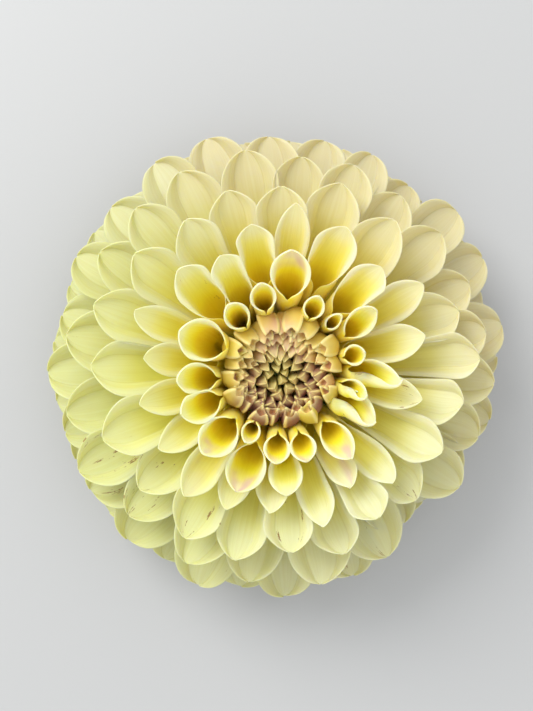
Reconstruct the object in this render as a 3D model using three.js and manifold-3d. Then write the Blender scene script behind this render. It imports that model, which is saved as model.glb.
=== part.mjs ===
// Dahlia flower head, a small decorative double, cut just under the head and laid on its back.
//
// Millimetres, +Z up. The origin lies on the surface that the flower rests on, straight under its axis.
// Bearings are degrees counterclockwise from +X, seen from above. The fleshy receptacle sits at the heart
// of the head and carries every floret: rows of open ray florets below and around it, trumpet-shaped young
// ones above those, and a disc of unopened ones on its crown. The lowest row, the guard florets, bends
// back and touches the surface.
import * as THREE from 'three';
import { mergeVertices } from 'three/addons/utils/BufferGeometryUtils.js';
import Module from 'manifold-3d';

const wasm = await Module();
wasm.setup();

// ---------------------------------------------------------------- driving dimensions

const RECEPTACLE_RADIUS = 14;
const RECEPTACLE_Z = 24; // height of the centre of its dome
const NECK_ANGLE = 152; // degrees from the crown at which it narrows to the stem
const DOME_STEP = 19; // degrees between two rings of its outline
const DOME_SEGMENTS = 24;
const SEAT_GAP = 0.3; // between a floret's foot and the receptacle
const STEM_RADIUS = 3.4;
const STEM_TAPER = 0.92;
const STEM_SEGMENTS = 16;
const STEM_CLEARANCE = 1; // the cut end stays just clear of the surface
const BLADE_THICKNESS = 0.7;
const BLADE_BELLY = 0.6; // a blade is widest at this share of its length
const BLADE_POINT = 1.05; // it would come to a point at this share, and ends just before it
const FOOT_WIDTH = 0.25; // its foot is this share of its greatest width
const MARGINS_UP = 0.75; // the share of its length from which its margins keep their lift
const SIDE_GAP = 0.5; // between neighbours in one row
const COLLAR_THICKNESS = 0.9; // the feet of a whorl of unopened florets grow together in a band this thick
const COLLAR_STEP = 16; // degrees between two rings of such a band
const ROOT_PART = 0.1; // the share of its arch over which a joined row of blades is one ring
const ARCH_PULL = 0.38; // how far the handles of an arch reach, as a share of its span
const ARCH_PRECISION = 1e-4;
const WELD = 1e-3; // points nearer than this are one
const SINGLE_BLADE = { across: 4, along: 4 };
const JOINED_BLADE = { across: 2, along: 4 };

// A row of florets or bracts: where its feet sit on the dome (degrees from the crown), the elevation at
// which its blades leave the foot and arrive at the tip, the height of the tip of the longest blade, the
// width of a blade and how far its margins are lifted. Each floret is [bearing of its tip, reach of its
// tip from the axis].
const OUTER_BRACTS = {
  feet: 139, leave: -46, arrive: -26, tipZ: 2.2, halfWidth: 3.8, cup: 0.5,
  florets: evenly(5, 24, 20),
};
const INNER_BRACTS = {
  feet: 130.5, leave: -30, arrive: -24, tipZ: 4.6, halfWidth: 5.4, cup: 0.8,
  florets: evenly(8, 30, 8),
};
const GUARD_ROW = {
  feet: 121, leave: -22, arrive: -12, tipZ: 0, halfWidth: 7.4, cup: 1.6,
  florets: evenly(20, 50, 11),
};
const BACK_ROW = {
  feet: 112, leave: -12, arrive: -24, tipZ: 10, halfWidth: 8.8, cup: 2.2,
  florets: [
    [3, 65], [20, 65], [35, 66], [48, 65], [60, 65], [73, 67], [86, 66], [98, 66], [114, 66], [130, 65],
    [143, 65], [158, 64], [173, 64], [189, 64], [205, 63], [221, 64], [240, 64], [261, 65], [282, 64],
    [300, 61], [318, 61], [337, 63],
  ],
};
const RIM_ROW = {
  feet: 103, leave: 0, arrive: -18, tipZ: 20, halfWidth: 9, cup: 2.4,
  florets: [
    [11, 65], [28, 67], [41, 68], [54, 64], [66, 66], [78, 66], [92, 65], [107, 68], [121, 67], [136, 65],
    [151, 64], [166, 62], [181, 64], [197, 62], [213, 62], [229, 64], [250, 65], [272, 65], [290, 62],
    [309, 58], [328, 62], [346, 64],
  ],
};
const OUTER_ROW = {
  feet: 94.5, leave: 14, arrive: 2, tipZ: 32, halfWidth: 9, cup: 2.6,
  florets: [
    [10, 57], [24, 57], [40, 57], [55, 58], [70, 59], [84, 58], [99, 60], [117, 60], [132, 58], [147, 58],
    [171, 58], [192, 59], [207, 61], [224, 57], [244, 58], [262, 59], [281, 60], [300, 60], [327, 59],
    [341, 58], [356, 59],
  ],
};
const MIDDLE_ROW = {
  feet: 86, leave: 30, arrive: 16, tipZ: 43, halfWidth: 8.6, cup: 2.8,
  florets: [
    [3, 53], [18, 50], [53, 49], [72, 52], [90, 48], [107, 49], [123, 46], [142, 49], [161, 52], [179, 50],
    [201, 50], [220, 49], [240, 51], [256, 52], [273, 48], [289, 52], [303, 46], [316, 50], [333, 47],
    [350, 49],
  ],
};
const INNER_ROW = {
  feet: 77.5, leave: 46, arrive: 34, tipZ: 51.5, halfWidth: 7.4, cup: 2.6,
  florets: [
    [14, 38], [31, 43], [47, 36], [67, 40], [86, 43], [103, 38], [119, 33], [137, 37], [158, 41], [175, 35],
    [194, 38], [212, 38], [232, 41], [248, 39], [264, 37], [284, 42], [299, 34], [314, 41], [348, 37],
  ],
};
const CUP_ROW = {
  feet: 66, footDepth: 2.6, leave: 46, arrive: 58, tipZ: 57, mouthRadius: 3.6,
  florets: [
    [31, 27], [84, 31], [160, 28], [186, 27], [205, 28], [225, 29], [250, 33], [273, 31], [306, 28],
    [330, 28], [355, 30],
  ],
};
const TRUMPET_ROW = {
  feet: 56, footDepth: 1.95, leave: 50, arrive: 68, tipZ: 56, mouthRadius: 2.7,
  florets: [
    [11, 21], [44, 20], [64, 21], [103, 23], [128, 21], [243, 22], [266, 24], [286, 24], [343, 23],
  ],
};

// A trumpet is round, and hollow for half its length. Its profile gives the share of its length, its
// radius as a share of the mouth's, and how far the outer side of the ring runs on ahead of the inner one.
const TRUMPET_SIDES = 8;
const TRUMPET_LENGTH = 0.9; // of its arch, as far as its outer side's lip
const TRUMPET_OUTSIDE = [[0, 0.36, 0], [0.45, 0.62, 0], [1, 1, 1]];
const TRUMPET_INSIDE = [[0.97, 1, 1], [0.55, 0.62, 0]];

// The unopened florets stand in a golden-angle spiral on the crown, in three whorls.
const GOLDEN_ANGLE = 137.508;
const BUD_COUNT = 66;
const BUD_CROWN = 45; // degrees of the dome that they cover
const BUD_WHORLS = [ // name, and the band of the dome that it stands on
  ['bud_florets_inner', 0, 16],
  ['bud_florets_middle', 16, 31],
  ['bud_florets_outer', 31, 46],
];
const BAND_GAP = 1.2; // degrees between two bands
const FOOT_INSET = 2.6; // degrees from a foot to the edge of its band
const BUD_DISC_RADIUS = 13.4;
const BUD_SPREAD = 0.58; // over a half: the innermost stand closer than the outermost
const BUD_RIM_Z = 50;
const BUD_HOLLOW = 4; // how far the middle of the disc lies below its rim
const BUD_RADIUS = { foot: 0.5, shoulder: 1.35, beak: 0.45 }; // of the outermost
const BUD_CENTRE_SIZE = 0.45; // the innermost is this share of the outermost
const BUD_SIDES = 4;
const BEAK_HEIGHT = 2.6; // of the beak over the shoulder
const BEAK_LEAN = 1.1; // of the beak towards the middle of the disc
const BEAK_NEAREST = 0.35; // to the axis

const PETAL = { color: 0xeee7a2, roughness: 0.55, metalness: 0 };
const YOUNG_PETAL = { color: 0xe6cf4a, roughness: 0.5, metalness: 0 };
const BUD = { color: 0xc9a58e, roughness: 0.55, metalness: 0 };
const GREEN = { color: 0x7f9c4e, roughness: 0.6, metalness: 0 };

// ---------------------------------------------------------------- places

function evenly(count, reach, first) {
  return Array.from({ length: count }, (_, i) => [first + (360 * i) / count, reach]);
}

const radians = THREE.MathUtils.degToRad;

// A point of a radial plane, turned to its bearing.
function around(r, z, bearing) {
  return new THREE.Vector3(r * Math.cos(radians(bearing)), r * Math.sin(radians(bearing)), z);
}

// A point on or above the receptacle's dome: x is its distance from the axis, y its height.
function domePoint(fromCrown, lift) {
  const radius = RECEPTACLE_RADIUS + lift;
  const angle = radians(fromCrown);
  return new THREE.Vector2(radius * Math.sin(angle), RECEPTACLE_Z + radius * Math.cos(angle));
}

// The arch that every blade of a row follows, in the radial plane, as far as its longest blade reaches.
function rowArch(row) {
  const slant = Math.abs(Math.sin(radians(row.leave - (90 - row.feet))));
  const foot = domePoint(row.feet, SEAT_GAP + (row.footDepth ?? BLADE_THICKNESS) * slant);
  const tip = new THREE.Vector2(Math.max(...row.florets.map(([, reach]) => reach)), row.tipZ);
  const pull = ARCH_PULL * foot.distanceTo(tip);
  const heading = (degrees) => new THREE.Vector2(Math.cos(radians(degrees)), Math.sin(radians(degrees)));
  return new THREE.CubicBezierCurve(
    foot,
    heading(row.leave).multiplyScalar(pull).add(foot),
    heading(row.arrive).multiplyScalar(-pull).add(tip),
    tip,
  );
}

// How far along its row's arch a blade ends, from 0 to 1.
function archEnd(arch, reach) {
  let low = 0;
  let high = 1;
  while (high - low > ARCH_PRECISION) {
    const middle = (low + high) / 2;
    if (arch.getPoint(middle).x < reach) low = middle;
    else high = middle;
  }
  return high;
}

// Half the angle, in radians, from a floret to its neighbour in the row on the right and on the left.
function sideRooms(row, bearing) {
  const turns = row.florets.map(([other]) => (other - bearing + 360) % 360).filter((turn) => turn > 0);
  return [radians(360 - Math.max(...turns)) / 2, radians(Math.min(...turns)) / 2];
}

// ---------------------------------------------------------------- closed shapes

function solidGeometry(points, faces) {
  const geometry = new THREE.BufferGeometry();
  geometry.setAttribute('position', new THREE.Float32BufferAttribute(points.flatMap((p) => p.toArray()), 3));
  geometry.setIndex(faces.flat());
  return geometry;
}

// Skins a closed tube over rings of points that have the same count, and closes both ends.
function skin(rings) {
  const sides = rings[0].length;
  const faces = [];
  for (let i = 0; i + 1 < rings.length; i += 1) {
    for (let j = 0; j < sides; j += 1) {
      const a = i * sides + j;
      const b = i * sides + ((j + 1) % sides);
      faces.push([a, b, b + sides], [a, b + sides, a + sides]);
    }
  }
  const last = (rings.length - 1) * sides;
  for (let j = 1; j + 1 < sides; j += 1) {
    faces.push([0, j + 1, j], [last, last + j, last + j + 1]);
  }
  return solidGeometry(rings.flat(), faces);
}

// The cross-sections of a row's blades: how far along the arch each lies. The first two are the same for
// every blade of the row, so that joined blades share them.
function stations(end, along) {
  const parts = [0, ROOT_PART];
  for (let i = 1; i <= along; i += 1) parts.push(ROOT_PART + ((end - ROOT_PART) * i) / along);
  return parts;
}

// The width of a blade along its length, as a share of its greatest width, which it has at BLADE_BELLY.
function bladeSwell(share) {
  if (share < BLADE_BELLY) {
    return FOOT_WIDTH + (1 - FOOT_WIDTH) * Math.sin((share / BLADE_BELLY) * Math.PI * 0.5);
  }
  return Math.sqrt(1 - ((share - BLADE_BELLY) / (BLADE_POINT - BLADE_BELLY)) ** 2);
}

// One cross-section of a blade, from its right margin to its left one: points of the lower and the upper
// face. room is the free angle, in radians, on the right and on the left.
function section(row, arch, bearing, part, end, room, across, joinedFoot) {
  const at = arch.getPoint(part);
  const heading = arch.getTangent(part);
  const share = part / end;
  const swell = bladeSwell(share);
  const lower = [];
  const upper = [];
  for (let j = 0; j <= across; j += 1) {
    const side = (2 * j) / across - 1;
    const free = side < 0 ? room[0] : room[1];
    const half = joinedFoot ? free : Math.min((row.halfWidth * swell) / at.x, free - SIDE_GAP / 2 / at.x);
    const turned = bearing + THREE.MathUtils.radToDeg(side * half);
    const lift = joinedFoot ? 0 : row.cup * side * side * Math.sin(Math.PI * Math.min(share, MARGINS_UP));
    const under = beside(at, heading, lift);
    const over = beside(at, heading, lift + BLADE_THICKNESS);
    lower.push(around(under.x, under.y, turned));
    upper.push(around(over.x, over.y, turned));
  }
  return [...lower, ...upper.reverse()];
}

// An open blade that is a piece of its own: a thin shell with lifted margins on the row's arch.
function blade(row, [bearing, reach]) {
  const { across, along } = SINGLE_BLADE;
  const arch = rowArch(row);
  const end = archEnd(arch, reach);
  const room = sideRooms(row, bearing);
  return skin(
    stations(end, along).map((part) => section(row, arch, bearing, part, end, room, across, false)),
  );
}

// A whole row as one piece: its blades grow together at the feet and stand apart from the first notch on.
function joinedRow(row) {
  const { across, along } = JOINED_BLADE;
  const arch = rowArch(row);
  const parts = row.florets.map(([bearing, reach]) => {
    const end = archEnd(arch, reach);
    const room = sideRooms(row, bearing);
    const rings = stations(end, along).map(
      (part, i) => section(row, arch, bearing, part, end, room, across, i < 2),
    );
    return { points: rings.flat(), faces: notchedFaces(rings, across) };
  });
  const points = [];
  const faces = [];
  for (const part of parts) {
    const start = points.length;
    points.push(...part.points);
    faces.push(...part.faces.map((face) => face.map((index) => index + start)));
  }
  return mergeVertices(solidGeometry(points, faces), WELD);
}

// The faces of one blade of a joined row: no side walls before the notch, where its neighbours take over.
function notchedFaces(rings, across) {
  const sides = rings[0].length;
  const faces = [];
  rings.slice(1).forEach((_, i) => {
    for (let j = 0; j < sides; j += 1) {
      const wall = j === across || j === sides - 1;
      if (wall && i === 0) continue;
      const a = i * sides + j;
      const b = i * sides + ((j + 1) % sides);
      faces.push([a, b, b + sides], [a, b + sides, a + sides]);
    }
  });
  const last = (rings.length - 1) * sides;
  for (let j = 0; j < across; j += 1) {
    const k = sides - 1 - j;
    faces.push([j + 1, j, k], [j + 1, k, k - 1]);
    faces.push([last + j, last + j + 1, last + k], [last + j + 1, last + k - 1, last + k]);
  }
  return faces;
}

// A point of the radial plane moved towards the inner, upper side of a heading.
function beside(at, heading, distance) {
  return new THREE.Vector2(at.x - heading.y * distance, at.y + heading.x * distance);
}

// A round ring of a floret, square to its heading in the radial plane. Its outer side runs on by lip.
function ring(at, heading, radius, lip, sides, bearing) {
  const points = [];
  for (let j = 0; j < sides; j += 1) {
    const angle = (2 * Math.PI * (j + 0.5)) / sides;
    const inward = radius * Math.cos(angle);
    const run = lip * (1 - Math.cos(angle)) * 0.5;
    const across = radius * Math.sin(angle);
    const spot = beside(at, heading, inward).addScaledVector(heading, run);
    const point = around(spot.x, spot.y, bearing);
    const sideways = around(1, 0, bearing + 90);
    points.push(point.addScaledVector(sideways, -across));
  }
  return points;
}

// A trumpet: a tube that widens to an oblique mouth.
function trumpet(row, [bearing, reach]) {
  const arch = rowArch(row);
  const end = archEnd(arch, reach) * TRUMPET_LENGTH;
  const place = ([part, share, lip], inset) => {
    const heading = arch.getTangent(part * end);
    const radius = row.mouthRadius * share;
    const centre = beside(arch.getPoint(part * end), heading, radius);
    return ring(centre, heading, radius - inset, lip * row.mouthRadius, TRUMPET_SIDES, bearing);
  };
  return skin([
    ...TRUMPET_OUTSIDE.map((step) => place(step, 0)),
    ...TRUMPET_INSIDE.map((step) => place(step, BLADE_THICKNESS)),
  ]);
}

// How far out an unopened floret stands, as a share of the disc.
function budShare(index) {
  return ((index + 0.5) / BUD_COUNT) ** BUD_SPREAD;
}

// An unopened floret: a four-sided spindle whose beak bends towards the middle of the disc. Its foot stays
// well inside the band of its whorl.
function budFloret(index, from, to) {
  const share = budShare(index);
  const bearing = index * GOLDEN_ANGLE;
  const footAngle = THREE.MathUtils.clamp(share * BUD_CROWN, from + FOOT_INSET, to - FOOT_INSET);
  const foot = domePoint(footAngle, COLLAR_THICKNESS * 0.5);
  const topZ = BUD_RIM_Z - BUD_HOLLOW * (1 - share * share);
  const shoulder = new THREE.Vector2(share * BUD_DISC_RADIUS, topZ - BEAK_HEIGHT);
  const beak = new THREE.Vector2(Math.max(BEAK_NEAREST, shoulder.x - BEAK_LEAN), topZ);
  const size = BUD_CENTRE_SIZE + (1 - BUD_CENTRE_SIZE) * share;
  const rings = [
    [foot, BUD_RADIUS.foot * size],
    [shoulder, BUD_RADIUS.shoulder * size],
    [beak, BUD_RADIUS.beak * size],
  ];
  const heading = shoulder.clone().sub(foot).normalize();
  return skin(rings.map(([at, radius]) => ring(at, heading, radius, 0, BUD_SIDES, bearing)));
}

// A band of the dome, from which a joined row of florets grows.
function collar(fromCrown, toCrown) {
  const steps = Math.max(1, Math.round((toCrown - fromCrown) / COLLAR_STEP));
  const outline = [];
  for (let i = 0; i <= steps; i += 1) {
    outline.push(domePoint(fromCrown + ((toCrown - fromCrown) * i) / steps, SEAT_GAP));
  }
  for (let i = steps; i >= 0; i -= 1) {
    const angle = fromCrown + ((toCrown - fromCrown) * i) / steps;
    outline.push(domePoint(angle, SEAT_GAP + COLLAR_THICKNESS));
  }
  if (fromCrown > 0) outline.push(outline[0].clone());
  return latheAbout(outline, DOME_SEGMENTS);
}

// LatheGeometry turns about Y: stand it up on Z.
function latheAbout(profile, segments) {
  return new THREE.LatheGeometry(profile, segments).rotateX(Math.PI / 2);
}

// ---------------------------------------------------------------- joining

function toSolid(geometry) {
  const bare = geometry.clone();
  bare.deleteAttribute('normal');
  bare.deleteAttribute('uv');
  const merged = mergeVertices(bare, 1e-4);
  const mesh = new wasm.Mesh({
    numProp: 3,
    vertProperties: new Float32Array(merged.attributes.position.array),
    triVerts: new Uint32Array(merged.index.array),
  });
  return new wasm.Manifold(mesh);
}

function toGeometry(solid) {
  const mesh = solid.getMesh();
  const geometry = new THREE.BufferGeometry();
  geometry.setAttribute('position', new THREE.BufferAttribute(mesh.vertProperties, 3));
  geometry.setIndex(new THREE.BufferAttribute(mesh.triVerts, 1));
  return geometry;
}

function joined(geometries) {
  return toGeometry(geometries.map(toSolid).reduce((all, one) => all.add(one)));
}

// ---------------------------------------------------------------- the flower

const flower = new THREE.Group();

function addPiece(name, geometry, finish) {
  const mesh = new THREE.Mesh(geometry, new THREE.MeshStandardMaterial(finish));
  mesh.name = name;
  flower.add(mesh);
}

const numbered = (name, index) => `${name}_${String(index + 1).padStart(2, '0')}`;

// The receptacle: a dome that narrows to the stem.
const dome = [new THREE.Vector2(0, RECEPTACLE_Z + RECEPTACLE_RADIUS)];
for (let angle = DOME_STEP; angle <= NECK_ANGLE; angle += DOME_STEP) dome.push(domePoint(angle, 0));
const neck = dome[dome.length - 1];
dome.push(new THREE.Vector2(0, neck.y));
addPiece('receptacle', latheAbout(dome.reverse(), DOME_SEGMENTS), GREEN);

// The stem, cut off square under the head.
const stemLength = neck.y - SEAT_GAP - STEM_CLEARANCE;
const stem = new THREE.CylinderGeometry(STEM_RADIUS, STEM_RADIUS * STEM_TAPER, stemLength, STEM_SEGMENTS);
stem.rotateX(Math.PI / 2);
stem.translate(0, 0, STEM_CLEARANCE + stemLength / 2);
addPiece('stem', stem, GREEN);

// Two rings of bracts: five fleshy ones bent back round the stem, eight thin ones under the guard florets.
OUTER_BRACTS.florets.forEach((place, i) => {
  addPiece(`outer_bract_${i + 1}`, blade(OUTER_BRACTS, place), GREEN);
});
addPiece('inner_bracts', joinedRow(INNER_BRACTS), GREEN);

// Each floret of the row that touches the surface is a piece of its own.
GUARD_ROW.florets.forEach((place, i) => {
  addPiece(numbered('guard_floret', i), blade(GUARD_ROW, place), PETAL);
});

// The rows above it are joined at their feet, one piece to a row.
addPiece('back_florets', joinedRow(BACK_ROW), PETAL);
addPiece('rim_florets', joinedRow(RIM_ROW), PETAL);
addPiece('outer_florets', joinedRow(OUTER_ROW), PETAL);
addPiece('middle_florets', joinedRow(MIDDLE_ROW), PETAL);
addPiece('inner_florets', joinedRow(INNER_ROW), PETAL);

// The young florets are rolled into cups and trumpets, each a piece of its own.
CUP_ROW.florets.forEach((place, i) => {
  addPiece(numbered('cup_floret', i), trumpet(CUP_ROW, place), YOUNG_PETAL);
});
TRUMPET_ROW.florets.forEach((place, i) => {
  addPiece(numbered('trumpet_floret', i), trumpet(TRUMPET_ROW, place), YOUNG_PETAL);
});

// The unopened florets, each whorl on its own band of the crown.
for (const [name, from, to] of BUD_WHORLS) {
  const members = [];
  for (let i = 0; i < BUD_COUNT; i += 1) {
    const angle = budShare(i) * BUD_CROWN;
    if (angle >= from && angle < to) members.push(budFloret(i, from, to));
  }
  addPiece(name, joined([collar(from, to - BAND_GAP), ...members]), BUD);
}

export default flower;
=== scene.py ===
# %% [markdown]
# # A dahlia head, floret by floret
#
# What looks like one flower is a crowd of small ones, the florets, that all stand on one fleshy
# receptacle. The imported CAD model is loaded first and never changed: it says where each row of florets
# begins and how far it reaches, and every piece made here stands for one of its nodes.

# %% The frame
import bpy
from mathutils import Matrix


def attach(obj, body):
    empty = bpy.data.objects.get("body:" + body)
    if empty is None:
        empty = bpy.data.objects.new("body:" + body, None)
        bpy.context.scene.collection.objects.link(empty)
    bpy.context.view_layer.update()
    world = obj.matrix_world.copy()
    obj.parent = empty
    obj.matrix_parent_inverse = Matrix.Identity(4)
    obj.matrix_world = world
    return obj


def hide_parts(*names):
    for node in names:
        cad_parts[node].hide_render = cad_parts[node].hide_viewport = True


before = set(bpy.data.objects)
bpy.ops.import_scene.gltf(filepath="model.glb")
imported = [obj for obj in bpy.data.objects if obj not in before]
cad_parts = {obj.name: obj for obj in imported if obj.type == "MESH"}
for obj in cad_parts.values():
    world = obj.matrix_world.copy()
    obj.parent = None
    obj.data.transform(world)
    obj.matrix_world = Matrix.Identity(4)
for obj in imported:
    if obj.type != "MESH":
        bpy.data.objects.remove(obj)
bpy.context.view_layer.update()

# %% Tools
import math

import bpy
import numpy as np
from mathutils import Matrix, Vector

# %% [markdown]
# ## The numbers that the head is built from
#
# Everything is worked out in millimetres, because that is how a flower is measured, and becomes metres
# when it is written to a mesh. The receptacle is a dome. A row of florets stands on it at so many
# degrees from the crown, leaves it at one slope, arrives at its tips at another, and each floret has a
# bearing and a reach.

# %% Receptacle and rows
MM = 0.001
RECEPTACLE_RADIUS = 14
RECEPTACLE_Z = 24
FOOT_LIFT = 0.3


def evenly(count, reach, first):
    """A row of florets at equal bearings, counted from the first."""
    return [(first + 360 * i / count, reach) for i in range(count)]


# A few florets differ from their row, as the one above or in front of them left them room. A tube has a
# half-width at its mouth, one at its tip and a skew; a curl is how far one side turns over the mouth.
UNDER_CUP = dict(mouth=0.34, leave=40, arrive=32, tip_z=50, tube=(2.4, 7.4, 0.55))
LOW_UNDER_CUP = dict(mouth=0.3, leave=36, arrive=28, tip_z=47, tube=(2.4, 7.4, 0.55))
LOW_MIDDLE = dict(tip_z=40, arrive=12)
BEHIND_TRUMPET = dict(leave=42, arrive=48, tip_z=54.5, mouth=0.68)

WIDE_CUP = dict(tube=(4.2, 5.6, 0.95))
SLIM_CUP = dict(tube=(3.1, 4.3, 0.95))
LOW_CUP = dict(leave=40, arrive=44, tip_z=52.5, mouth=0.6, tube=(2.4, 5.4, 0.8))
SMALL_TUBE = dict(tube=(1.9, 2.3, 1.0), tip_z=54)
SQUARE_TUBE = dict(tube=(2.2, 2.3, 1.1), tip_z=54.5, mouth=0.84)
CLOSED_TUBE = dict(tube=(1.7, 0.9, 2.2), tip_z=54, arrive=80, mouth=0.8)
NARROW_TUBE = dict(tube=(2.0, 2.5, 1.0), roll=-12, arrive=84, mouth=0.84)
POINTED_TUBE = dict(tube=(2.6, 3.5, 0.9), point=0.26)
OVAL_CUP = dict(leave=42, arrive=50, tip_z=55, mouth=0.66, tube=(2.8, 3.9, 0.95), point=0.24)
NARROW_CUP = dict(leave=42, arrive=48, tip_z=55, mouth=0.7, tube=(2.6, 4.0, 1.0), roll=-30)
FOLDED_CUP = dict(leave=44, arrive=50, tip_z=55, mouth=0.62, tube=(3.6, 4.8, 0.9), curl=2.2, roll=20)
CURLED_CUP = dict(leave=42, arrive=48, tip_z=55, mouth=0.62, tube=(3.4, 4.0, 0.9), curl=2.0, roll=24)
CURLED_TUBE = dict(tube=(2.1, 2.8, 0.9), curl=2.1, mouth=0.74, roll=20)

# Of each row: degrees from the crown to its feet, its slope there and at the tips, the height of the tips at
# full reach and how much they rise inwards; then the width, folds and outline of a strap or a tube, how far
# every second floret stands out, the grid of its sheet, its age, and the bearing and reach of each floret.
ROWS = {
    "guard": dict(
        node="guard_floret_{:02d}", feet=121, leave=-22, arrive=-12, tip_z=0.6, full_reach=50, fall=0,
        half_width=8.8, mouth=0.1, opening=0.5, pinch=0.1, crease=0.5, hook=4, belly=0.62, ogive=0.5,
        wave=0.5, step=0.2, overlap=0.3, grid=(8, 14), age=1.0, places=evenly(20, 50, 11),
    ),
    "back": dict(
        node="back_florets", feet=112, leave=-12, arrive=-24, tip_z=11, full_reach=65, fall=0.6,
        half_width=11.4, mouth=0.1, opening=0.6, pinch=0.2, crease=0.8, hook=6, belly=0.68, ogive=0.46,
        wave=0.7, step=1.2, overlap=2.4, grid=(8, 14), age=0.95,
        places=[
            (3, 65), (20, 65), (35, 66), (48, 65), (60, 65), (73, 67), (86, 66), (98, 66), (114, 66),
            (130, 65), (143, 65), (158, 64), (173, 64), (189, 64), (205, 63), (221, 64), (240, 64), (261, 65),
            (282, 64), (300, 60), (318, 57.5), (337, 60),
        ],
    ),
    "rim": dict(
        node="rim_florets", feet=103, leave=0, arrive=-18, tip_z=20, full_reach=66, fall=0.7,
        half_width=11.6, mouth=0.12, opening=0.85, pinch=0.2, crease=1.0, hook=8, belly=0.7, ogive=0.47,
        wave=0.6, step=1.4, overlap=2.4, grid=(12, 18), age=0.85,
        places=[
            (11, 65), (28, 67), (41, 68), (54, 64), (66, 66), (78, 66), (92, 65), (107, 68), (121, 67),
            (136, 65), (151, 64), (166, 62), (181, 64), (197, 62), (213, 62), (229, 64), (250, 65), (272, 65),
            (290, 62), (309, 56), (328, 58.5), (346, 62),
        ],
    ),
    "outer": dict(
        node="outer_florets", feet=94.5, leave=14, arrive=2, tip_z=32, full_reach=60, fall=0.9,
        half_width=11.4, mouth=0.15, opening=0.95, pinch=0.2, crease=1.0, hook=8, belly=0.7, ogive=0.5,
        wave=0.3, step=1.4, overlap=2, grid=(12, 18), age=0.68,
        places=[
            (10, 57), (24, 57), (40, 57), (55, 58), (70, 59), (84, 58), (99, 60), (117, 60), (132, 58),
            (147, 58), (171, 58), (192, 59), (207, 61), (224, 57), (244, 58), (262, 59), (281, 60), (300, 60),
            (327, 59), (341, 58), (356, 59),
        ],
    ),
    "middle": dict(
        node="middle_florets", feet=86, leave=30, arrive=16, tip_z=42, full_reach=52, fall=0.9,
        half_width=10.6, mouth=0.25, opening=0.95, pinch=0.1, crease=0.95, hook=8, belly=0.7, ogive=0.56,
        wave=0.2, step=1.2, overlap=1.4, grid=(12, 18), age=0.5,
        places=[
            (3, 53), (18, 50, LOW_MIDDLE), (53, 49), (72, 52), (90, 48, LOW_MIDDLE), (107, 49), (123, 46),
            (142, 49), (161, 52), (179, 50), (201, 50), (220, 49, LOW_MIDDLE), (240, 51), (256, 52),
            (273, 48, LOW_MIDDLE), (289, 52), (303, 46), (316, 50), (333, 47), (350, 49),
        ],
    ),
    "inner": dict(
        node="inner_florets", feet=77.5, leave=46, arrive=34, tip_z=52, full_reach=41, fall=0.5,
        mouth=0.63, tube=(4.3, 7.2, 0.8), point=0.2, crease=0.5, hook=6,
        wave=0.15, step=0.8, overlap=0.2, grid=(12, 20), age=0.32,
        places=[
            (14, 38, LOW_UNDER_CUP), (31, 43, UNDER_CUP), (47, 36), (67, 40), (86, 43, UNDER_CUP), (103, 38),
            (119, 33), (137, 37), (158, 41, UNDER_CUP), (175, 36, LOW_UNDER_CUP), (194, 38, LOW_UNDER_CUP),
            (212, 38, LOW_UNDER_CUP), (232, 41, UNDER_CUP), (248, 39, LOW_UNDER_CUP),
            (264, 37, LOW_UNDER_CUP), (284, 42, UNDER_CUP), (299, 35, LOW_UNDER_CUP), (314, 41, UNDER_CUP),
            (348, 37, LOW_UNDER_CUP),
        ],
    ),
    "cup": dict(
        node="cup_floret_{:02d}", feet=66, leave=46, arrive=58, tip_z=57, full_reach=30, fall=0.2,
        mouth=0.72, tube=(3.7, 5.2, 0.95), point=0.16, crease=0.1, hook=2,
        wave=0.05, step=0, overlap=0.2, grid=(12, 20), age=0.16,
        places=[
            (31, 28, NARROW_CUP), (87, 30), (160, 28, WIDE_CUP), (186, 27, SLIM_CUP), (203, 28, SLIM_CUP),
            (225, 29), (249, 33, BEHIND_TRUMPET), (271, 32, LOW_CUP), (307, 28, OVAL_CUP),
            (331, 26.5, FOLDED_CUP), (356, 30, CURLED_CUP),
        ],
    ),
    "trumpet": dict(
        node="trumpet_floret_{:02d}", feet=56, leave=50, arrive=68, tip_z=56, full_reach=22, fall=0.2,
        mouth=0.8, tube=(2.6, 3.3, 1.0), point=0.1, lip=1.25, crease=0, hook=0,
        wave=0.05, step=0, overlap=2, grid=(12, 18), age=0.08,
        places=[
            (12, 20.5, NARROW_TUBE), (44, 20, CLOSED_TUBE), (64, 20.5, SQUARE_TUBE), (106, 22.5), (131, 21.5),
            (242, 20.5, SMALL_TUBE), (265, 23.5, POINTED_TUBE), (284, 23.5, POINTED_TUBE),
            (344, 21.8, CURLED_TUBE),
        ],
    ),
}
print("florets:", {name: len(row["places"]) for name, row in ROWS.items()})

# %% [markdown]
# ## The line that a floret follows
#
# Seen from the side a floret leaves the dome at its row's slope and bends to another one at its tip. A
# cubic curve with a handle at each end does that, as the CAD model does it. The end of it then hooks
# upwards, since a dahlia floret ends in a small hood.

# %% The spine of a floret
HANDLE = 0.38
SPINE_STEPS = 60
HOOK_FROM = 0.86


def dome_point(from_crown, lift):
    """A point above the receptacle's dome: its distance from the axis and its height."""
    angle = math.radians(from_crown)
    radius = RECEPTACLE_RADIUS + lift
    return np.array([radius * math.sin(angle), RECEPTACLE_Z + radius * math.cos(angle)])


def heading(degrees):
    """A step of length one at that slope, in the plane of the axis."""
    return np.array([math.cos(math.radians(degrees)), math.sin(math.radians(degrees))])


def smooth(low, high, value):
    """0 below low, 1 above high, and an even S between them."""
    x = np.clip((value - low) / (high - low), 0, 1)
    return x * x * (3 - 2 * x)


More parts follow.
